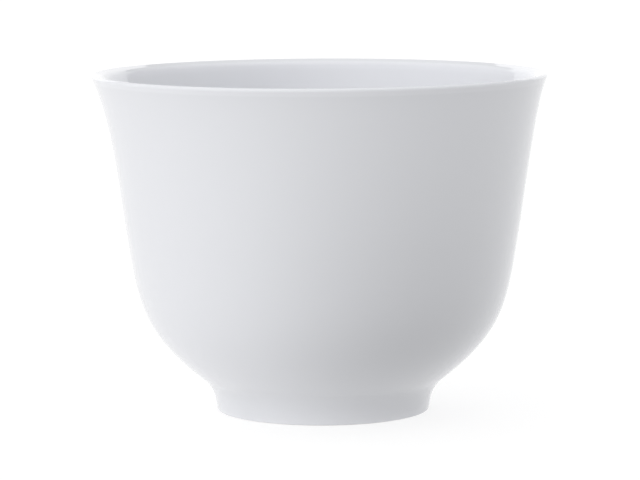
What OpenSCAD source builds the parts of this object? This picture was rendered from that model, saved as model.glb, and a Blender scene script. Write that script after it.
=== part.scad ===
// Handleless tea cup in white porcelain. A bell-shaped bowl is stuck with slip to a turned foot ring, and
// glaze covers everything but the edge that the cup stands on. Millimetres, +Z up, with the origin on the
// table at the cup's axis. Every piece is turned about that axis from one shared section.

/* [Bowl] */
// Diameter over the lip
rim_d = 86; // [80:1:96]
// Height from the table to the top of the lip
cup_h = 64; // [56:1:76]
// Diameter of the wall at its waist, where it stands straightest
waist_d = 74.6; // [70:0.2:80]
// Height of the waist above the table
waist_h = 35; // [30:0.5:42]
// Lean of the wall at the waist, in degrees out from upright
waist_lean = 9; // [4:1:14]
// How far the wall runs on above the waist before it flares
waist_run = 6.5; // [3:0.5:10]
// Lean of the wall at the lip, in degrees out from upright
lip_lean = 27; // [16:1:40]
// How far below the lip the flare takes up that lean
lip_run = 7; // [3:0.5:10]
// Lean of the belly where it leaves the foot, in degrees out from upright
belly_lean = 51; // [44:1:58]
// How far the belly runs on from the foot before it turns up
belly_reach = 14.5; // [11:0.5:18]
// How far below the waist the belly has turned upright
belly_rise = 14.5; // [10:0.5:18]

/* [Thickness] */
// Wall just below the lip, with glaze on both sides
lip_t = 2; // [1.6:0.1:3]
// Radius of the clay on the outer edge of the lip, which is its top
lip_edge_r = 0.3; // [0.2:0.05:0.5]
// Radius of the clay where the lip's slope turns down into the inside
lip_turn_r = 1.3; // [0.6:0.1:1.6]
// Wall and belly, with glaze on both sides
wall_t = 2.9; // [2.4:0.1:4]
// Floor from the seat of the foot ring up, with the inside glaze
floor_t = 4.2; // [3:0.1:6]
// One coat of glaze
glaze_t = 0.3; // [0.15:0.05:0.5]
// Layer of slip that sticks the foot ring to the bowl
slip_t = 0.4; // [0.2:0.1:0.8]

/* [Foot] */
// Diameter of the glazed well inside the foot, at the table
well_d = 33; // [28:0.5:38]
// Width of the foot ring at the table, from glaze to glaze
foot_ring_w = 3.6; // [3:0.1:4.5]
// Lean of the foot's wall, in degrees out from upright
foot_lean = 10; // [6:1:20]
// Height of the foot's wall, up to the cove under the belly
foot_wall_h = 2; // [1.4:0.1:4]
// Radius of the cove between the foot's wall and the belly
cove_r = 7; // [3:0.5:8]
// Draft of the well's wall, in degrees
well_draft = 8; // [2:1:15]
// Radius of the glaze that gathers in the corner of the well
well_corner_r = 1; // [0.5:0.1:1.6]
// Radius of the clay on both edges of the standing face
foot_edge_r = 0.5; // [0.3:0.1:1.1]

/* [Hidden] */
$fn = 128;

// Steps along each long curve, and along each short arc, of the section
curve_steps = 24;
arc_steps = 8;
// How far below the lip the inside leaves the wall and turns over, for each millimetre of lip_t
lip_depth = 0.6;
// Share of the belly's curve at which the inside leaves the wall and rounds into the floor
floor_from = 0.5;
// How far the floor's curve reaches, from the wall and from the middle, towards the corner that it rounds
floor_turn = 0.9;
floor_flat = 0.65;

glaze_colour = "#edeef1";
clay_colour = "#e7e3dd";
slip_colour = "#dfdcd3";

// The section is a list of stations, each a point [radius, height] on the finished surface with its normal
// towards the air. Stations run up the outside, over the lip, down the inside and in to the axis. A point
// under the glaze is its station moved in by the coat's thickness.

function lean(angle) = [sin(angle), cos(angle)];
function right_of(direction) = [direction[1], -direction[0]];
function mix(a, b, share) = a + (b - a) * share;
function ease(share) = share * share * (3 - 2 * share);
function tail(list) = [for (i = [1:1:len(list) - 1]) list[i]];
function reverse(list) = [for (i = [len(list) - 1:-1:0]) list[i]];
function inset(stations, depth) = [for (s = stations) s[0] - depth * s[1]];

function bezier(p, t) = let (u = 1 - t)
    u * u * u * p[0] + 3 * u * u * t * p[1] + 3 * u * t * t * p[2] + t * t * t * p[3];
function bezier_run(p, t) = let (u = 1 - t)
    u * u * (p[1] - p[0]) + 2 * u * t * (p[2] - p[1]) + t * t * (p[3] - p[2]);
function bezier_station(p, t) = let (run = bezier_run(p, t)) [bezier(p, t), right_of(run / norm(run))];
function curve(p) = [for (i = [0:curve_steps]) bezier_station(p, i / curve_steps)];

// Arc about a centre, with the air on its outer side, or on its inner side if it is hollow
function arc(centre, radius, from, to, hollow = false) = [
    for (i = [0:arc_steps])
        let (angle = mix(from, to, i / arc_steps), out = [cos(angle), sin(angle)])
            [centre + radius * out, hollow ? -out : out]
];

// Outer edge of the lip: its top is the cup's height and its side is the cup's diameter
edge_r = lip_edge_r + glaze_t;
edge_centre = [rim_d / 2 - edge_r, cup_h - edge_r];
lip_outside = arc(edge_centre, edge_r, -lip_lean, 90);

// Foot: a leaning wall, then the cove that carries it out under the belly
foot_d = well_d + 2 * foot_ring_w;
foot_normal = right_of(lean(foot_lean));
foot_wall_top = [foot_d / 2 + foot_wall_h * tan(foot_lean), foot_wall_h];
cove = arc(foot_wall_top + cove_r * foot_normal, cove_r, 180 - foot_lean, 180 - belly_lean, true);
cove_top = cove[arc_steps][0];

// Belly and flare, which meet at the waist
seam_top = cove_top + slip_t / cos(belly_lean) * lean(belly_lean);
waist = [waist_d / 2, waist_h];
lip_start = lip_outside[0][0];
belly_curve = [
    seam_top,
    seam_top + belly_reach * lean(belly_lean),
    waist - belly_rise * lean(waist_lean),
    waist
];
flare_curve = [
    waist,
    waist + waist_run * lean(waist_lean),
    lip_start - lip_run * lean(lip_lean),
    lip_start
];
belly = curve(belly_curve);
flare = curve(flare_curve);

// Inside of a wall of some thickness behind an outside station
function behind(station, thickness) = [station[0] - thickness * station[1], -station[1]];

// Inside: the flare thickens from the lip to the waist, the belly keeps the wall's thickness, and the floor
// rounds the corner between the belly and the level of the floor
function flare_t(share) = mix(wall_t, lip_t, ease(share));
lip_from = 1 - lip_depth * lip_t / (3 * lip_run);
inside_flare = [
    for (i = [curve_steps:-1:0])
        let (t = mix(0, lip_from, i / curve_steps))
            behind(bezier_station(flare_curve, t), flare_t(t))
];
inside_belly = [
    for (i = [curve_steps:-1:0])
        let (t = mix(floor_from, 1, i / curve_steps))
            behind(bezier_station(belly_curve, t), wall_t)
];
seat_z = inset([belly[0]], glaze_t)[0][1];
floor_z = seat_z + floor_t;
floor_edge = inside_belly[curve_steps];
floor_down = -right_of(floor_edge[1]);
floor_corner = floor_edge[0] + (floor_edge[0][1] - floor_z) * [floor_down[0] / -floor_down[1], -1];
floor_centre = [0, floor_z];
floor = curve([
    floor_edge[0],
    mix(floor_edge[0], floor_corner, floor_turn),
    mix(floor_centre, floor_corner, floor_flat),
    floor_centre
]);

// Inside of the lip: over its edge, then down a slope that touches the edge's circle and the turn's
turn_r = lip_turn_r + glaze_t;
inside_top = inside_flare[0];
turn_centre = inside_top[0] - turn_r * inside_top[1];
lip_apart = edge_centre - turn_centre;
lip_slope = atan2(lip_apart[1], lip_apart[0]) + acos((turn_r - edge_r) / norm(lip_apart));
lip_inside = concat(
    arc(edge_centre, edge_r, 90, lip_slope),
    arc(turn_centre, turn_r, lip_slope, atan2(inside_top[1][1], inside_top[1][0]))
);

outside_wall = concat(belly, tail(flare), tail(lip_outside));
inside_wall = concat(lip_inside, tail(inside_flare), tail(inside_belly), tail(floor));

// Well: the drafted hollow inside the foot, up to the bowl's underside
function foot_body_r(z) = foot_d / 2 - glaze_t / cos(foot_lean) + z * tan(foot_lean);
function well_body_r(z) = well_d / 2 + glaze_t / cos(well_draft) - z * tan(well_draft);
function well_air_r(z) = well_d / 2 - z * tan(well_draft);

// Standing face: flat between two rounded edges, each tangent to the wall above it. The coat thins out round
// each edge and ends on it where a full coat would touch the table.
edge_wrap = asin(foot_edge_r / (foot_edge_r + glaze_t));
outer_edge_centre = [
    foot_body_r(foot_edge_r) - foot_edge_r / cos(foot_lean),
    foot_edge_r
];
inner_edge_centre = [
    well_body_r(foot_edge_r) + foot_edge_r / cos(well_draft),
    foot_edge_r
];
outer_bare = arc(outer_edge_centre, foot_edge_r, -90, -edge_wrap);
outer_coat = arc(outer_edge_centre, foot_edge_r + glaze_t, -edge_wrap, -foot_lean);
inner_bare = arc(inner_edge_centre, foot_edge_r, -180 + edge_wrap, -90);
inner_coat = arc(inner_edge_centre, foot_edge_r + glaze_t, -180 + edge_wrap, -180 + well_draft);

// Surface of a coat that rises from the clay to its full thickness as a quarter of an ellipse does
function thinned(stations) = [
    for (i = [0:arc_steps])
        let (left = 1 - i / arc_steps)
            inset([stations[i]], glaze_t * (1 - sqrt(1 - left * left)))[0]
];

module turned(outline) rotate_extrude() polygon(outline);

// The porcelain body of the cup, flat underneath where the foot ring is stuck on
module bowl() {
    color(clay_colour)
        turned(concat(
            [[0, seat_z]],
            inset(outside_wall, glaze_t),
            tail(inset(inside_wall, glaze_t))
        ));
}

// The slip between bowl and foot ring
module slip_seam() {
    color(slip_colour)
        turned([
            [well_body_r(seat_z - slip_t), seat_z - slip_t],
            inset([cove[arc_steps]], glaze_t)[0],
            inset([belly[0]], glaze_t)[0],
            [well_body_r(seat_z), seat_z]
        ]);
}

// The turned ring that the cup stands on, bare on its standing face
module foot_ring() {
    color(clay_colour)
        turned(concat(
            reverse(inset(inner_coat, glaze_t)),
            tail(inset(inner_bare, 0)),
            inset(outer_bare, 0),
            tail(inset(outer_coat, glaze_t)),
            inset(cove, glaze_t),
            [[well_body_r(seat_z - slip_t), seat_z - slip_t]]
        ));
}

// The coat from the foot up to the top of the lip
module outside_glaze() {
    stations = concat(cove, outside_wall);
    color(glaze_colour)
        turned(concat(
            thinned(outer_coat),
            inset(stations, 0),
            reverse(inset(stations, glaze_t)),
            reverse(tail(inset(outer_coat, glaze_t)))
        ));
}

// The coat from the top of the lip down to the middle of the floor
module inside_glaze() {
    color(glaze_colour)
        turned(concat(inset(inside_wall, 0), reverse(inset(inside_wall, glaze_t))));
}

// The coat in the well, gathered in its corner
module well_glaze() {
    ceiling_z = seat_z - glaze_t;
    corner_z = ceiling_z - well_corner_r;
    corner_centre = [
        well_air_r(corner_z) - well_corner_r / cos(well_draft),
        corner_z
    ];
    corner = arc(corner_centre, well_corner_r, well_draft, 90, true);
    color(glaze_colour)
        turned(concat(
            thinned(inner_coat),
            inset(corner, 0),
            [[0, ceiling_z], [0, seat_z], [well_body_r(seat_z), seat_z]],
            reverse(tail(inset(inner_coat, glaze_t)))
        ));
}

bowl();
slip_seam();
foot_ring();
outside_glaze();
inside_glaze();
well_glaze();
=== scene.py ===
# %% [markdown]
# # A white porcelain tea cup
#
# The cup has no handle: a bell-shaped bowl with a flared lip stands on a low turned foot ring. Clear glaze
# covers the clay inside and out, and only the face that the cup stands on is bare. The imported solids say
# how big each piece is and where it sits. This script turns the same section again as fine smooth
# surfaces, bends them by the small amount that the kiln bent the real cup, and gives them their finishes.

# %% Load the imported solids
import math

import bpy
import numpy as np
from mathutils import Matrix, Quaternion, Vector


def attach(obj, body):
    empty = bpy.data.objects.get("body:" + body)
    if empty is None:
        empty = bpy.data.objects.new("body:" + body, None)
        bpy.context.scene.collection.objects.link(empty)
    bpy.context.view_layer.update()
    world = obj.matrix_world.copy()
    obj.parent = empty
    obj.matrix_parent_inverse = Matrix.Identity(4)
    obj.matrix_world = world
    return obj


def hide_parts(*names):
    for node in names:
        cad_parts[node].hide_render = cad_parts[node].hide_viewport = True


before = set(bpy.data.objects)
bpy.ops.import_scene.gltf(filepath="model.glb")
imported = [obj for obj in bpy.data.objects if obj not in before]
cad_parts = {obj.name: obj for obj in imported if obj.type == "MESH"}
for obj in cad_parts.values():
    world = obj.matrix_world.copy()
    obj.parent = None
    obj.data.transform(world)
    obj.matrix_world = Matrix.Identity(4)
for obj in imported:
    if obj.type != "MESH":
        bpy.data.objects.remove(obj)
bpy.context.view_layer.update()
MM = 0.001

# %% [markdown]
# ## Sizes
#
# The script can't read the part's source, so the sizes that draw the section are repeated here, in
# millimetres and degrees and with the names that they have there. The lip and the height could be read off
# the solids' box, but a box says nothing of curves, so all of them are written down. Only the lip is drawn a
# hair finer than the solids': its edge is sharper by 0.15 mm, it stands two degrees more upright and its
# inner turn starts 0.2 mm lower, since a thin bright line along the lip is what makes porcelain look thin.

# %% Sizes of the section, in millimetres and degrees
RIM_D = 86.0
CUP_H = 64.0
WAIST_D = 74.6
WAIST_H = 35.0
WAIST_LEAN = 9.0
WAIST_RUN = 6.5
LIP_LEAN = 25.0
LIP_RUN = 7.0
BELLY_LEAN = 51.0
BELLY_REACH = 14.5
BELLY_RISE = 14.5
LIP_T = 2.0
LIP_EDGE_R = 0.15
LIP_TURN_R = 1.3
WALL_T = 2.9
FLOOR_T = 4.2
GLAZE_T = 0.3
SLIP_T = 0.4
WELL_D = 33.0
FOOT_RING_W = 3.6
FOOT_LEAN = 10.0
FOOT_WALL_H = 2.0
COVE_R = 7.0
WELL_DRAFT = 8.0
WELL_CORNER_R = 1.0
FOOT_EDGE_R = 0.5
LIP_DEPTH = 0.7
FLOOR_FROM = 0.5
FLOOR_TURN = 0.9
FLOOR_FLAT = 0.65

# %% [markdown]
# ## The section as stations
#
# A potter's profile gauge is one curve, and everything on this cup follows from it. The curve could be
# drawn as a Blender curve and spun by a Screw modifier, but then the glaze, which is the same curve moved
# by a third of a millimetre, would be a second drawing. Here the section is a run of stations: points
# [radius, height] on the finished surface, each with its normal towards the air. The clay under the glaze
# is the same run moved inwards along the normals.

# %% Straight and curved runs of stations
def lean(degrees):
    """Unit direction [radius, height] that leans so many degrees out from upright."""
    angle = np.radians(degrees)
    return np.array([np.sin(angle), np.cos(angle)])


def air_side(direction):
    """The direction turned a quarter to the right, which faces the air when the section is walked up the
    outside, over the lip and down the inside."""
    return np.stack([direction[..., 1], -direction[..., 0]], axis=-1)


def bezier(controls, t):
    """Cubic Bezier run: each point is the four controls weighted by the Bernstein polynomials of t, and
    its normal is the derivative, made one unit long and turned to the air side."""
    start, leave, arrive, end = controls
    t = np.asarray(t)[:, None]
    u = 1 - t
    points = u**3 * start + 3 * u * u * t * leave + 3 * u * t * t * arrive + t**3 * end
    along = u * u * (leave - start) + 2 * u * t * (arrive - leave) + t * t * (end - arrive)
    return points, air_side(along / np.linalg.norm(along, axis=1, keepdims=True))


def arc(centre, radius, start, end, steps, hollow=False):
    """Circular run: centre plus radius times [cos a, sin a] for a from start to end. The air is outside
    the circle, or inside it on a hollow arc."""
    angle = np.radians(np.linspace(start, end, steps + 1))
    out = np.stack([np.cos(angle), np.sin(angle)], axis=1)
    return centre + radius * out, -out if hollow else out


def joined(*runs):
    """One run made of several, each starting where the last one ends."""
    points = [runs[0][0]] + [run[0][1:] for run in runs[1:]]
    normals = [runs[0][1]] + [run[1][1:] for run in runs[1:]]
    return np.concatenate(points), np.concatenate(normals)


def under(run, depth):
    """Points that lie a depth below the surface, straight in along each normal."""
    return run[0] - depth * run[1]


def behind(run, thickness):
    """The other face of a wall: the same stations moved in by the wall's thickness and facing away."""
    return run[0] - np.reshape(thickness, (-1, 1)) * run[1], -run[1]


print("an upright run faces outwards:", air_side(lean(0)))

# %% [markdown]
# ## The outside, from the foot to the lip
#
# From the table up, the outside is a short leaning foot wall, a hollow cove, a belly that swings up to a
# nearly upright waist, a flare and the crisp outer edge of the lip, which is also its top. Two Bezier curves
# that share the waist's lean make belly and flare, because their handles are what a designer pulls to fatten
# the belly or open the lip. The steps are close enough that no corner shows in a reflection.

# %% Foot wall, cove, belly, flare and lip
CURVE_STEPS = 68
ARC_STEPS = 24
LIP_STEPS = 20

foot_d = WELL_D + 2 * FOOT_RING_W
foot_normal = air_side(lean(FOOT_LEAN))
foot_wall_top = np.array([foot_d / 2 + FOOT_WALL_H * math.tan(math.radians(FOOT_LEAN)), FOOT_WALL_H])
cove_centre = foot_wall_top + COVE_R * foot_normal
cove = arc(cove_centre, COVE_R, 180 - FOOT_LEAN, 180 - BELLY_LEAN, ARC_STEPS, hollow=True)
seam_low = cove[0][-1]
seam_high = seam_low + SLIP_T / math.cos(math.radians(BELLY_LEAN)) * lean(BELLY_LEAN)

edge_r = LIP_EDGE_R + GLAZE_T
edge_centre = np.array([RIM_D / 2 - edge_r, CUP_H - edge_r])
lip_outside = arc(edge_centre, edge_r, -LIP_LEAN, 90, LIP_STEPS)

even = np.linspace(0, 1, CURVE_STEPS + 1)
waist = np.array([WAIST_D / 2, WAIST_H])
lip_start = lip_outside[0][0]
belly_controls = (
    seam_high,
    seam_high + BELLY_REACH * lean(BELLY_LEAN),
    waist - BELLY_RISE * lean(WAIST_LEAN),
    waist,
)
flare_controls = (
    waist,
    waist + WAIST_RUN * lean(WAIST_LEAN),
    lip_start - LIP_RUN * lean(LIP_LEAN),
    lip_start,
)
belly = bezier(belly_controls, even)
flare = bezier(flare_controls, even)
seam = (np.array([seam_low, seam_high]), np.array([cove[1][-1], belly[1][0]]))
outside_wall = joined(belly, flare, lip_outside)
print("outside stations:", len(outside_wall[0]), "seam at height", np.round(seam[0][:, 1], 2))

# %% [markdown]
# ## The inside
#
# A thrown wall is thinnest at the lip. The inside is therefore the outside moved in by a thickness that
# eases from the lip's to the wall's, and lower down a third Bezier curve rounds the corner into the floor,
# where the clay is left thick. At the top, the potter's thumb left a slope from the lip's edge down to the
# inside: a straight line that touches two small circles, whose angle follows from their centres.

# %% Inside of the flare and the belly
lip_from = 1 - LIP_DEPTH * LIP_T / (3 * LIP_RUN)
upper = lip_from * even
ease = upper * upper * (3 - 2 * upper)
inside_flare = behind(bezier(flare_controls, upper), WALL_T + (LIP_T - WALL_T) * ease)
inside_belly = behind(bezier(belly_controls, FLOOR_FROM + (1 - FLOOR_FROM) * even), WALL_T)


def backwards(run):
    """The same stations, walked the other way."""
    return run[0][::-1], run[1][::-1]


print("wall at the waist and below the lip:", WALL_T, round(WALL_T + (LIP_T - WALL_T) * ease[-1], 2))

# %% Inside of the lip, and the floor
turn_r = LIP_TURN_R + GLAZE_T
inside_top, inside_facing = inside_flare[0][-1], inside_flare[1][-1]
turn_centre = inside_top - turn_r * inside_facing
lip_apart = edge_centre - turn_centre
spread = math.acos((turn_r - edge_r) / np.linalg.norm(lip_apart))
lip_slope = math.degrees(math.atan2(lip_apart[1], lip_apart[0]) + spread)
wall_facing = math.degrees(math.atan2(inside_facing[1], inside_facing[0]))
lip_over = arc(edge_centre, edge_r, 90, lip_slope, LIP_STEPS)
lip_turn = arc(turn_centre, turn_r, lip_slope, wall_facing, LIP_STEPS)
lip_inside = (np.concatenate([lip_over[0], lip_turn[0]]), np.concatenate([lip_over[1], lip_turn[1]]))

seat_z = under(belly, GLAZE_T)[0, 1]
floor_z = seat_z + FLOOR_T
floor_edge, floor_normal = inside_belly[0][0], inside_belly[1][0]
floor_down = np.array([-floor_normal[1], floor_normal[0]])
floor_corner = floor_edge + (floor_z - floor_edge[1]) / floor_down[1] * floor_down
floor_centre = np.array([0.0, floor_z])
floor_controls = (
    floor_edge,
    floor_edge + FLOOR_TURN * (floor_corner - floor_edge),
    floor_centre + FLOOR_FLAT * (floor_corner - floor_centre),
    floor_centre,
)
cup_floor = bezier(floor_controls, even)
inside_wall = joined(lip_inside, backwards(inside_flare), backwards(inside_belly), cup_floor)
print("lip slopes down by", round(lip_slope - 90, 1), "degrees, floor at height", round(float(floor_z), 2))

# %% [markdown]
# ## The foot
#
# The ring under the cup is turned after throwing: a drafted well inside, a leaning wall outside and a flat
# between two rounded edges that is wiped clean of glaze, so that the cup doesn't stick to the kiln shelf.
# The coat thins out round each edge, and ends where a full coat would touch the table.

# %% Well, standing face and the coat round its edges
foot_slope = math.tan(math.radians(FOOT_LEAN))
well_slope = math.tan(math.radians(WELL_DRAFT))
foot_share = math.cos(math.radians(FOOT_LEAN))
well_share = math.cos(math.radians(WELL_DRAFT))


def foot_clay_r(z):
    """Radius of the clay of the foot's outer wall at a height."""
    return foot_d / 2 - GLAZE_T / foot_share + z * foot_slope


def well_clay_r(z):
    """Radius of the clay of the well's wall at a height."""
    return WELL_D / 2 + GLAZE_T / well_share - z * well_slope


def thinned(run):
    """Surface of a coat that rises from the clay to its full thickness as a quarter ellipse does: at a
    share s along the run, the thickness is that of the coat times the root of 1 - (1 - s) squared."""
    left = np.linspace(1, 0, len(run[0]))[:, None]
    return run[0] - GLAZE_T * (1 - np.sqrt(1 - left * left)) * run[1]


edge_wrap = math.degrees(math.asin(FOOT_EDGE_R / (FOOT_EDGE_R + GLAZE_T)))
coat_r = FOOT_EDGE_R + GLAZE_T
outer_centre = np.array([foot_clay_r(FOOT_EDGE_R) - FOOT_EDGE_R / foot_share, FOOT_EDGE_R])
inner_centre = np.array([well_clay_r(FOOT_EDGE_R) + FOOT_EDGE_R / well_share, FOOT_EDGE_R])
outer_bare = arc(outer_centre, FOOT_EDGE_R, -90, -edge_wrap, ARC_STEPS)
outer_coat = arc(outer_centre, coat_r, -edge_wrap, -FOOT_LEAN, ARC_STEPS)
inner_bare = arc(inner_centre, FOOT_EDGE_R, -180 + edge_wrap, -90, ARC_STEPS)
inner_coat = arc(inner_centre, coat_r, -180 + edge_wrap, -180 + WELL_DRAFT, ARC_STEPS)
print("standing face is", round(outer_centre[0] - inner_centre[0], 2), "mm wide")

# %% [markdown]
# ## What the kiln did
#
# Porcelain softens in the fire, and the lip of a real cup ends up a little off centre and out of level. On
# this one the lip sits 0.6 mm to the left, and its front and its right side are a hair higher. The bend
# starts above the belly and grows with the square of the height from there, so every piece takes it by the
# same formula and none of them part.

# %% The bend of the upper wall
BEND_FROM = 0.7 * CUP_H
LIP_SHIFT = -0.6
LIP_RISE = 0.15
LIP_TILT = 0.0015
LIP_NOD = -0.0045


def fired(points):
    """Moves points by the kiln's bend: with w = ((z - start) / (height - start)) squared above the start
    and 0 below it, x gains the lip's shift times w, and z gains (rise + tilt x + nod y) times w."""
    share = np.clip((points[:, 2] - BEND_FROM) / (CUP_H - BEND_FROM), 0, 1) ** 2
    moved = points.copy()
    moved[:, 0] += LIP_SHIFT * share
    moved[:, 2] += (LIP_RISE + LIP_TILT * points[:, 0] + LIP_NOD * points[:, 1]) * share
    return moved


lip_ends = np.array([[-RIM_D / 2, 0, CUP_H], [RIM_D / 2, 0, CUP_H]])
print("left and right of the lip after firing:", fired(lip_ends).round(2).tolist())

# %% [markdown]
# ## From a section to a surface
#
# Blender's Spin tool would turn the section too, but it leaves a seam to weld and a pinch of doubled points
# on the axis. A grid worked out with numpy has neither: one parameter runs along the outline and the other
# round the axis, both wrap, and an outline that starts and ends on the axis gets one vertex there as a pole.

# %% The turned grid
TURNS = 192
SHARP_ANGLE = math.radians(35)
ON_AXIS = 1e-9


def turned(name, outline, depth=None):
    """Surface of revolution: station (r, z) of the outline at turn a is the point (r cos a, r sin a, z).
    The solid lies to the left of the outline's travel. Quads join neighbouring stations and turns, and a
    fan of triangles closes each pole. A depth for each station becomes an attribute of its ring."""
    on_axis = outline[0, 0] < ON_AXIS and outline[-1, 0] < ON_AXIS
    inner = slice(1, -1) if on_axis else slice(None)
    rings = outline[inner]
    count = len(rings)
    angle = np.arange(TURNS) * (2 * math.pi / TURNS)
    radius, height = rings[:, 0, None], rings[:, 1, None]
    grid = np.stack(np.broadcast_arrays(radius * np.cos(angle), radius * np.sin(angle), height), axis=-1)
    points = grid.reshape(-1, 3)

    here = np.arange(count - 1 if on_axis else count)[:, None] * TURNS
    there = (here + TURNS) % (count * TURNS)
    turn = np.arange(TURNS)
    after = (turn + 1) % TURNS
    corners = [here + turn, here + after, there + after, there + turn]
    faces = np.stack(corners, axis=-1).reshape(-1, 4).tolist()
    if on_axis:
        first = count * TURNS
        last = first + 1
        top = (count - 1) * TURNS
        points = np.concatenate([points, [[0, 0, outline[0, 1]], [0, 0, outline[-1, 1]]]])
        faces += np.stack([np.full(TURNS, first), after, turn], axis=-1).tolist()
        faces += np.stack([top + turn, top + after, np.full(TURNS, last)], axis=-1).tolist()

    mesh = bpy.data.meshes.new(name)
    mesh.from_pydata((fired(points) * MM).tolist(), [], faces)
    mesh.polygons.foreach_set("use_smooth", np.ones(len(mesh.polygons), bool))
    mesh.set_sharp_from_angle(angle=SHARP_ANGLE)
    if depth is not None:
        values = np.repeat(depth[inner], TURNS)
        if on_axis:
            values = np.append(values, depth[[0, -1]])
        mesh.attributes.new("depth", "FLOAT", "POINT").data.foreach_set("value", values.astype(np.float32))
    mesh.validate()
    piece = bpy.data.objects.new(name, mesh)
    bpy.context.collection.objects.link(piece)
    return piece


def stands_for(piece, node):
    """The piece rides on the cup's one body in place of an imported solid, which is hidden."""
    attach(piece, "root")
    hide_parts(node)
    print(piece.name, "has", len(piece.data.polygons), "faces")


# %% [markdown]
# ## The clay
#
# The bowl is hidden under the glaze, and so is the slip that sticks the ring to it. They are turned anyway,
# bent like the rest, so that a cup that someone cuts open is right inside. Of the ring, only the standing
# face and its two edges show.

# %% Bowl, slip seam and foot ring
bowl_outline = np.concatenate([
    [[0.0, seat_z]],
    under(outside_wall, GLAZE_T),
    under(inside_wall, GLAZE_T)[1:],
])
bowl = turned("cup_bowl", bowl_outline)
stands_for(bowl, "bowl")

seam_clay = under(seam, GLAZE_T)
slip_outline = np.array([
    [well_clay_r(seam_clay[0, 1]), seam_clay[0, 1]],
    seam_clay[0],
    seam_clay[1],
    [well_clay_r(seam_clay[1, 1]), seam_clay[1, 1]],
])
slip_seam = turned("cup_slip_seam", slip_outline)
stands_for(slip_seam, "slip_seam")

ring_outline = np.concatenate([
    under(inner_coat, GLAZE_T)[::-1],
    inner_bare[0][1:],
    outer_bare[0],
    under(outer_coat, GLAZE_T)[1:],
    under(cove, GLAZE_T),
    slip_outline[:1],
])
foot_ring = turned("cup_foot_ring", ring_outline)
stands_for(foot_ring, "foot_ring")

# %% [markdown]
# ## The glaze
#
# The glaze could be a clear layer in a material, and from outside that would look much the same. As three
# thin shells it also has what a coat has: a rolled edge above the bare standing face, and a soft fillet
# where it gathers in the corner of the well. Melted glaze runs off edges and gathers in hollows, so each
# shell carries its depth as an attribute, which the finish reads further down. The finish also paints thin
# edges lighter, and on the lip that lighter colour is a painted highlight.

# %% How deep the melt lies
SPREAD = 0.5
HOLLOW_GAIN = 2.6


def melt_depth(outline):
    """Depth of the melt at each point of an outline, from 0 to 1: a half where the section runs straight,
    more in a hollow and less on an edge. The turn of the outline at a point is summed with its neighbours'
    under a bell curve of their distance, and the sum over the length that it covers is the curvature."""
    step = np.roll(outline, -1, axis=0) - outline
    length = np.hypot(step[:, 0], step[:, 1])
    heading = np.arctan2(step[:, 1], step[:, 0])
    turn = (heading - np.roll(heading, 1) + math.pi) % (2 * math.pi) - math.pi
    along = np.cumsum(length) - length
    near = np.exp(-0.5 * ((along[:, None] - along) / SPREAD) ** 2)
    curvature = (near @ turn) / (near @ (length + np.roll(length, 1)) * 0.5)
    return np.clip(0.5 - HOLLOW_GAIN * curvature, 0, 1)


round_edge = arc(np.zeros(2), 10.0, 0, 360, 90)[0][:-1]
print("depth on an edge of 10 mm radius:", round(float(melt_depth(round_edge)[0]), 2))

# %% Outside, inside and well coats
outside_stations = joined(cove, seam, outside_wall)
outside_outline = np.concatenate([
    thinned(outer_coat),
    outside_stations[0],
    under(outside_stations, GLAZE_T)[::-1],
    under(outer_coat, GLAZE_T)[:0:-1],
])
outside_glaze = turned("cup_outside_glaze", outside_outline, melt_depth(outside_outline))
stands_for(outside_glaze, "outside_glaze")

inside_outline = np.concatenate([
    under(inside_wall, GLAZE_T)[::-1],
    inside_wall[0],
])
inside_glaze = turned("cup_inside_glaze", inside_outline, melt_depth(inside_outline))
stands_for(inside_glaze, "inside_glaze")

ceiling_z = seat_z - GLAZE_T
corner_z = ceiling_z - WELL_CORNER_R
corner_centre = np.array([
    WELL_D / 2 - corner_z * well_slope - WELL_CORNER_R / well_share,
    corner_z,
])
well_corner = arc(corner_centre, WELL_CORNER_R, WELL_DRAFT, 90, ARC_STEPS, hollow=True)
well_outline = np.concatenate([
    [[0.0, ceiling_z]],
    well_corner[0][::-1],
    thinned(inner_coat)[::-1],
    under(inner_coat, GLAZE_T)[1:],
    [[well_clay_r(seat_z), seat_z], [0.0, seat_z]],
])
well_glaze = turned("cup_well_glaze", well_outline, melt_depth(well_outline))
stands_for(well_glaze, "well_glaze")

# %% [markdown]
# ## Shader formulas
#
# A material is a formula over the surface. Drawn as nodes it is hard to read in a script, so one small class
# wraps a node's output: sums and products of such signals add Math nodes by themselves, and one method adds
# any other node.

# %% A signal in a node tree
class Signal:
    """One output socket of a node tree. Arithmetic with numbers and other signals adds Math nodes."""

    def __init__(self, tree, socket=None):
        self.tree = tree
        self.socket = socket

    def node(self, kind, settings=None, inputs=None, output=0):
        """Adds a node of a kind, sets its properties, and feeds its inputs with numbers or signals."""
        made = self.tree.nodes.new(kind)
        for name, value in (settings or {}).items():
            setattr(made, name, value)
        for name, value in (inputs or {}).items():
            if isinstance(value, Signal):
                self.tree.links.new(value.socket, made.inputs[name])
            else:
                made.inputs[name].default_value = value
        return Signal(self.tree, made.outputs[output] if made.outputs else None)

    def other(self, output):
        """Another output of the node that this signal comes from."""
        return Signal(self.tree, self.socket.node.outputs[output])

    def math(self, operation, *values):
        """A Math node of an operation on this signal and further values."""
        return self.node("ShaderNodeMath", {"operation": operation}, dict(enumerate((self, *values))))

    def __add__(self, other):
        return self.math("ADD", other)

    __radd__ = __add__

    def __mul__(self, other):
        return self.math("MULTIPLY", other)

    __rmul__ = __mul__

    def __sub__(self, other):
        return self.math("SUBTRACT", other)

    def __rsub__(self, other):
        return (self * -1.0) + other

    def __pow__(self, other):
        return self.math("POWER", other)


def noise(place, scale, detail=2.0):
    """Smooth noise between 0 and 1 over the object's own coordinates, with so many lumps to a metre."""
    return place.node(
        "ShaderNodeTexNoise", {}, {"Vector": place, "Scale": scale, "Detail": detail}, "Fac"
    )


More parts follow.
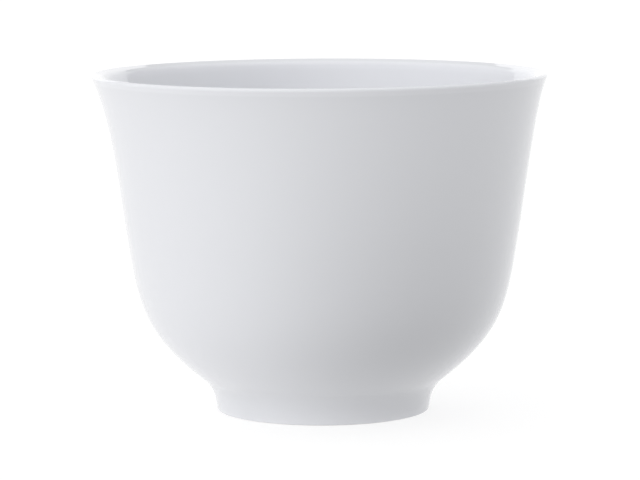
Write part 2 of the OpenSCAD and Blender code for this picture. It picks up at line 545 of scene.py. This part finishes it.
def material(name):
    """A new material with an empty tree, and the signal of the object's own coordinates in it."""
    made = bpy.data.materials.new(name)
    made.use_nodes = True
    made.node_tree.nodes.clear()
    place = Signal(made.node_tree).node("ShaderNodeTexCoord", output="Object")
    return made, place


def surface(place, shader):
    """Ends a tree: the shader signal goes to the material's output."""
    place.node("ShaderNodeOutputMaterial", {}, {"Surface": shader})


def blend_colours(place, share, low, high):
    """A colour between two, by a share that a signal gives."""
    return place.node(
        "ShaderNodeMix",
        {"data_type": "RGBA"},
        {"Factor": share, 6: low, 7: high},
        2,
    )


# %% [markdown]
# ## Glaze finish
#
# Clear glaze over white clay is glossy, and whiter where it is thin than where it lies deep and cool in a
# hollow. The whiter colour on edges is partly a painted highlight: it brightens the lip's edge as the light
# from above would. It isn't quite even: the white drifts a little over a few centimetres, the gloss comes
# and goes, a few specks of ash lie in it, and under the ripple of melted glass the potter's turning rings can
# be felt. All of it is far below a millimetre, so it belongs in the material and not in the mesh.

# %% Glaze finish
THIN_GLAZE_AND_LIP_HIGHLIGHT = (0.895, 0.905, 0.942, 1.0)
GLAZE_EVEN = (0.860, 0.870, 0.905, 1.0)
GLAZE_DEEP = (0.845, 0.855, 0.890, 1.0)
DRIFT_LUMPS = 30.0
DRIFT_SHARE = 0.4
ASH = (0.52, 0.50, 0.46, 1.0)
ASH_CELLS = 260.0
ASH_SHRINK = 22.0
ASH_RARITY = 0.985
ASH_SHARE = 0.35
RING_PITCH = 0.0034
RING_WANDER = 3.0
WANDER_LUMPS = 40.0
RING_SHARE = 0.12
RIPPLE_LUMPS = 420.0
RIPPLE_STRENGTH = 0.06
RIPPLE_HEIGHT = 0.0002
GLOSS_LUMPS = 90.0
GLOSS_LEAST = 0.02
GLOSS_CHANGE = 0.04
GLASS_IOR = 1.5

glaze, place = material("clear_glaze")
depth = place.node("ShaderNodeAttribute", {"attribute_name": "depth"}, output="Fac")
drift = noise(place, DRIFT_LUMPS) - 0.5
# Lighter on thin edges and darker where the melt lies deep; on the lip's edge the lighter colour is a painted
# highlight.
melt_and_highlight_share = 2.0 * depth - 1.0 + DRIFT_SHARE * drift
white = blend_colours(place, melt_and_highlight_share, GLAZE_EVEN, GLAZE_DEEP)
white = blend_colours(place, -1.0 * melt_and_highlight_share, white, THIN_GLAZE_AND_LIP_HIGHLIGHT)
cells = place.node("ShaderNodeTexVoronoi", {}, {"Vector": place, "Scale": ASH_CELLS}, "Distance")
chance = place.node("ShaderNodeSeparateColor", {}, {0: cells.other("Color")}, "Red")
near_middle = (1.0 - ASH_SHRINK * cells).math("MAXIMUM", 0.0)
speck = near_middle * chance.math("GREATER_THAN", ASH_RARITY)
height = place.node("ShaderNodeSeparateXYZ", {}, {0: place}, "Z")
wander = RING_WANDER * noise(place, WANDER_LUMPS)
rings = (height * (2 * math.pi / RING_PITCH) + wander).math("SINE")
ripple = noise(place, RIPPLE_LUMPS, 1.0) + RING_SHARE * rings
rippled = place.node(
    "ShaderNodeBump",
    {},
    {"Strength": RIPPLE_STRENGTH, "Distance": RIPPLE_HEIGHT, "Height": ripple},
)
glaze_shader = place.node(
    "ShaderNodeBsdfPrincipled",
    {},
    {
        "Base Color": blend_colours(place, ASH_SHARE * speck, white, ASH),
        "Roughness": GLOSS_LEAST + GLOSS_CHANGE * noise(place, GLOSS_LUMPS),
        "IOR": GLASS_IOR,
        "Normal": rippled,
    },
)
surface(place, glaze_shader)
for piece in (outside_glaze, inside_glaze, well_glaze):
    piece.data.materials.append(glaze)
print("glaze nodes:", len(glaze.node_tree.nodes))

# %% [markdown]
# ## Bare porcelain and slip
#
# The standing face is fired clay: matt, a touch warmer than the glaze, with the rings that the turning tool
# left and a fine tooth from the sanding pad. Rings that share the cup's axis are a sine of the radius. The
# slip is the same clay with more water in it.

# %% Clay finishes
CLAY_PALE = (0.83, 0.81, 0.77, 1.0)
CLAY_WARM = (0.77, 0.73, 0.67, 1.0)
SLIP_PALE = (0.77, 0.74, 0.69, 1.0)
SLIP_WARM = (0.71, 0.67, 0.61, 1.0)
TONE_LUMPS = 240.0
GRAIN_LUMPS = 2600.0
TOOL_PITCH = 0.00055
TOOL_WANDER = 2.0
TOOL_WANDER_LUMPS = 120.0
TOOL_SHARE = 0.25
CLAY_BUMP_STRENGTH = 0.4
CLAY_BUMP_HEIGHT = 0.00008
CLAY_SMOOTHEST = 0.62
CLAY_CHANGE = 0.2


def fired_clay(name, pale, warm):
    """Matt clay whose colour wanders between two tones, with a fine grain in its bump and roughness. Rings
    about the cup's axis add to the height, which there is the sine of the radius over the tool's pitch."""
    clay, place = material(name)
    grain = noise(place, GRAIN_LUMPS, 3.0)
    level = place.node("ShaderNodeVectorMath", {"operation": "MULTIPLY"}, {0: place, 1: (1.0, 1.0, 0.0)})
    radius = place.node("ShaderNodeVectorMath", {"operation": "LENGTH"}, {0: level}, "Value")
    wander = TOOL_WANDER * noise(place, TOOL_WANDER_LUMPS)
    rings = (radius * (2 * math.pi / TOOL_PITCH) + wander).math("SINE")
    tooth = place.node(
        "ShaderNodeBump",
        {},
        {"Strength": CLAY_BUMP_STRENGTH, "Distance": CLAY_BUMP_HEIGHT, "Height": grain + TOOL_SHARE * rings},
    )
    shader = place.node(
        "ShaderNodeBsdfPrincipled",
        {},
        {
            "Base Color": blend_colours(place, noise(place, TONE_LUMPS), pale, warm),
            "Roughness": CLAY_SMOOTHEST + CLAY_CHANGE * grain,
            "Normal": tooth,
        },
    )
    surface(place, shader)
    return clay


bare_clay = fired_clay("bare_porcelain", CLAY_PALE, CLAY_WARM)
slip_clay = fired_clay("fired_slip", SLIP_PALE, SLIP_WARM)
bowl.data.materials.append(bare_clay)
foot_ring.data.materials.append(bare_clay)
slip_seam.data.materials.append(slip_clay)
print("clay materials:", bare_clay.name, slip_clay.name)

# %% [markdown]
# ## Studio
#
# The cup was photographed in soft light from the left, before a bright white backdrop, with a dim room to
# the right of the camera, and no lamp shows in the glaze. Area lamps would show there as squares. So the
# studio is a tent: a half sphere of cloth that glows by a smooth formula of direction. It is brightest
# towards a lamp in front on the left and dimmest on the right, with a soft light overhead for the top of the
# lip. The one sharp edge in it is the backdrop's, which the two ends of the cup's mouth mirror. The camera
# doesn't see the cloth, only the white world past it.

# %% World and stage helper
scene = bpy.context.scene
scene.view_settings.view_transform = "Standard"
world = bpy.data.worlds.new("white_world")
scene.world = world
world.use_nodes = True
world.node_tree.nodes.clear()
sky = Signal(world.node_tree)
white_sky = sky.node("ShaderNodeBackground", {}, {"Color": (1, 1, 1, 1), "Strength": 1.0})
sky.node("ShaderNodeOutputWorld", {}, {"Surface": white_sky})
world.cycles.sampling_method = "NONE"


def staged(name, points, faces, finish):
    """A sheet of the studio, which is no part of the cup."""
    mesh = bpy.data.meshes.new(name)
    mesh.from_pydata(points, [], faces)
    mesh.materials.append(finish)
    sheet = bpy.data.objects.new(name, mesh)
    bpy.context.collection.objects.link(sheet)
    return sheet


print("world:", world.name)

# %% Tent
TENT_RADIUS = 2.5
TENT_GLOW = 1.03
TENT_TOP_LOSS = 0.811
OVERHEAD_GLOW = 1.025
OVERHEAD_FOCUS = 9.0
LAMP_GLOW = 0.862
LAMP_AZIMUTH = -23.0
LAMP_ELEVATION = -5.2
LAMP_FOCUS = 7.8
DIM_SHARE = 0.76
DIM_AZIMUTH = 42.0
DIM_FOCUS = 4.5
CORNER_SHARE = 0.235
CORNER_AZIMUTH = 48.0
CORNER_FOCUS = 12.0
REAR_SHARE = 0.7
REAR_FOCUS = 4.0
BACKDROP_GLOW = 0.85
BACKDROP_HALF = 43.5
BACKDROP_TOP = 28.0
BEHIND = 180.0
LEVEL = 0.0
STRAIGHT_UP = 90.0


def towards(azimuth, elevation):
    """Unit direction from the cup, with the azimuth counted from the camera's side to the right."""
    turn, rise = math.radians(azimuth), math.radians(elevation)
    return math.sin(turn) * math.cos(rise), -math.cos(turn) * math.cos(rise), math.sin(rise)


def lobe(outward, azimuth, elevation, focus):
    """Smooth spot of light: half of 1 plus the cosine to a direction, raised to the focus."""
    cosine = outward.node(
        "ShaderNodeVectorMath",
        {"operation": "DOT_PRODUCT"},
        {0: outward, 1: towards(azimuth, elevation)},
        "Value",
    )
    return (0.5 + 0.5 * cosine) ** focus


cloth, place = material("tent_cloth")
cloth.cycles.emission_sampling = "NONE"
outward = place.node("ShaderNodeVectorMath", {"operation": "NORMALIZE"}, {0: place})
across = place.node("ShaderNodeSeparateXYZ", {}, {0: outward}, "X")
rear = across.other("Y")
upward = across.other("Z")
right = DIM_SHARE * lobe(outward, DIM_AZIMUTH, LEVEL, DIM_FOCUS)
corner = CORNER_SHARE * lobe(outward, CORNER_AZIMUTH, LEVEL, CORNER_FOCUS)
behind_cup = REAR_SHARE * lobe(outward, BEHIND, LEVEL, REAR_FOCUS)
even_glow = TENT_GLOW * (1.0 - TENT_TOP_LOSS * (upward * upward))
even_glow = even_glow * (1.0 - right - corner) * (1.0 - behind_cup)
overhead = OVERHEAD_GLOW * lobe(outward, BEHIND, STRAIGHT_UP, OVERHEAD_FOCUS)
lamp = LAMP_GLOW * lobe(outward, LAMP_AZIMUTH, LAMP_ELEVATION, LAMP_FOCUS)
between = across.math("ABSOLUTE").math("LESS_THAN", rear * math.tan(math.radians(BACKDROP_HALF)))
backdrop = between * upward.math("LESS_THAN", math.sin(math.radians(BACKDROP_TOP)))
glow = even_glow + overhead + lamp + BACKDROP_GLOW * backdrop
surface(place, place.node("ShaderNodeEmission", {}, {"Color": (1, 1, 1, 1), "Strength": glow}))

TENT_RINGS = 16
TENT_TURNS = 48
rise = np.linspace(0, 0.5 * math.pi, TENT_RINGS + 1)[:, None]
turn = np.arange(TENT_TURNS) * (2 * math.pi / TENT_TURNS)
tent_points = TENT_RADIUS * np.stack(
    np.broadcast_arrays(np.cos(rise) * np.cos(turn), np.cos(rise) * np.sin(turn), np.sin(rise)), axis=-1
)
ring = np.arange(TENT_RINGS)[:, None] * TENT_TURNS
step = np.arange(TENT_TURNS)
after = (step + 1) % TENT_TURNS
tent_corners = [ring + step, ring + TENT_TURNS + step, ring + TENT_TURNS + after, ring + after]
tent_faces = np.stack(tent_corners, axis=-1).reshape(-1, 4).tolist()
tent = staged("studio_tent", tent_points.reshape(-1, 3).tolist(), tent_faces, cloth)
tent.visible_camera = False
print("tent has", len(tent.data.polygons), "faces")

# %% [markdown]
# ## Floor
#
# A white sheet on a light table, which the camera and the glaze see as white with the cup's faint shadow on
# it. It throws back some of what falls on it, and more light comes through it from below, which is why the
# foot isn't dark. What it sends up under the belly is less even: a soft dark patch in its bounce and glow,
# to the right in front of the cup, is painted shade where the floor lies in shade on the cup's dim side. The
# patch is a formula in the sheet, so it needs no object, and the camera and the glaze don't see it.

# %% Floor
FLOOR_BOUNCE = 0.219
FLOOR_GLOW = 0.615
SHADE_PATCH_PLACE = (0.040, -0.080, 0.0)
SHADE_PATCH_SPREAD = 0.053
FLOOR_SEEN = (0.38, 0.38, 0.38, 1.0)
FLOOR_LIFT = 0.715
FLOOR_REACH = 4.0

floor_finish, place = material("white_floor")
camera_ray = place.node("ShaderNodeLightPath", output="Is Camera Ray")
seen = camera_ray + camera_ray.other("Is Glossy Ray") + camera_ray.other("Is Transmission Ray")
# Painted shade: a soft dark patch that darkens the floor's bounce and glow to the right in front of the cup.
from_shade_patch = place.node(
    "ShaderNodeVectorMath", {"operation": "DISTANCE"}, {0: place, 1: SHADE_PATCH_PLACE}, "Value"
)
spreads = from_shade_patch * (1.0 / SHADE_PATCH_SPREAD)
outside_shade_patch = 1.0 - (-1.0 * spreads * spreads).math("EXPONENT")
bounce = FLOOR_BOUNCE * outside_shade_patch
grey = place.node("ShaderNodeCombineColor", {}, {0: bounce, 1: bounce, 2: bounce})
paper = place.node("ShaderNodeBsdfDiffuse", {}, {"Color": grey})
table = place.node("ShaderNodeEmission", {}, {"Color": (1, 1, 1, 1), "Strength": FLOOR_GLOW * outside_shade_patch})
sheet = place.node("ShaderNodeAddShader", {}, {0: paper, 1: table})
pale = place.node("ShaderNodeBsdfDiffuse", {}, {"Color": FLOOR_SEEN})
lift = place.node("ShaderNodeEmission", {}, {"Color": (1, 1, 1, 1), "Strength": FLOOR_LIFT})
white_paper = place.node("ShaderNodeAddShader", {}, {0: pale, 1: lift})
surface(place, place.node("ShaderNodeMixShader", {}, {0: seen, 1: sheet, 2: white_paper}))
floor_points = [
    (-FLOOR_REACH, -FLOOR_REACH, 0),
    (FLOOR_REACH, -FLOOR_REACH, 0),
    (FLOOR_REACH, FLOOR_REACH, 0),
    (-FLOOR_REACH, FLOOR_REACH, 0),
]
staged("studio_floor", floor_points, [(0, 1, 2, 3)], floor_finish)
print("floor is", 2 * FLOOR_REACH, "m across")

# %% [markdown]
# ## Camera
#
# A long lens from a little above the lip, as in the photograph: the ellipse of the lip gives the height,
# and its width against the foot's gives the distance.

# %% Camera
CAMERA_DISTANCE = 0.645
CAMERA_ELEVATION = math.radians(6.911)
CAMERA_ROLL = math.radians(-0.192)
CAMERA_LENS = 191.04
SENSOR_WIDTH = 36.0
AIM = Vector((-0.000517, 0.0, 0.03231))

camera_data = bpy.data.cameras.new("camera")
camera_data.lens = CAMERA_LENS
camera_data.sensor_width = SENSOR_WIDTH
camera = bpy.data.objects.new("camera", camera_data)
bpy.context.collection.objects.link(camera)
back = Vector((0.0, -math.cos(CAMERA_ELEVATION), math.sin(CAMERA_ELEVATION)))
camera.location = AIM + CAMERA_DISTANCE * back
camera.rotation_mode = "QUATERNION"
facing = (-back).to_track_quat("-Z", "Y")
camera.rotation_quaternion = facing @ Quaternion((0, 0, 1), CAMERA_ROLL)
scene.camera = camera
print("camera at", [round(v, 4) for v in camera.location])
